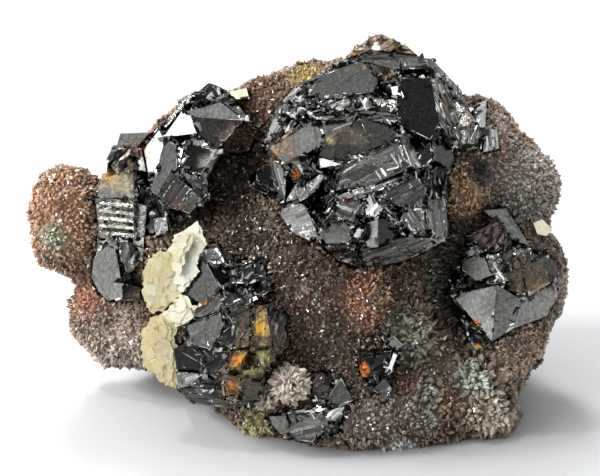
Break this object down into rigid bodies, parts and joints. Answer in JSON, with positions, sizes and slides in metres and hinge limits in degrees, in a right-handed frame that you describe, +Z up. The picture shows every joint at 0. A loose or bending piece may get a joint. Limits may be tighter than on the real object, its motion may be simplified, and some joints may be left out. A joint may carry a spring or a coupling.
{
  "type": "sphalerite specimen",
  "caption": "Natural mineral specimen: dark faceted sphalerite clusters, cream calcite blades and a quartz rosette on a lump of drusy quartz.",
  "frame": {"origin": "middle of the bounding box at the flat foot", "axes": "+Z up from the flat foot, +X along the long side to the right of the shown side, -Y towards the viewer of the shown side"},
  "size_m": [0.0804, 0.0488, 0.0526],
  "materials": {
    "drusy_quartz": "drusy, glittering",
    "sphalerite": "adamantine, nearly black",
    "honey_sphalerite": "resinous, honey brown",
    "calcite": "waxy",
    "rosette_quartz": "vitreous",
    "pyrite": "metallic"
  },
  "bodies": {
    "root": {"quartz_matrix": "drusy_quartz", "sphalerite_main": "sphalerite", "sphalerite_upper_left": "sphalerite", "sphalerite_left": "sphalerite", "sphalerite_lower": "sphalerite", "sphalerite_front": "sphalerite", "sphalerite_right": "sphalerite", "sphalerite_small": "sphalerite", "sphalerite_shoulder": "sphalerite", "sphalerite_cap": "honey_sphalerite", "calcite_blades": "calcite", "quartz_rosette": "rosette_quartz", "pyrite_chip": "pyrite", "pyrite_left": "pyrite"}
  },
  "joints": []
}
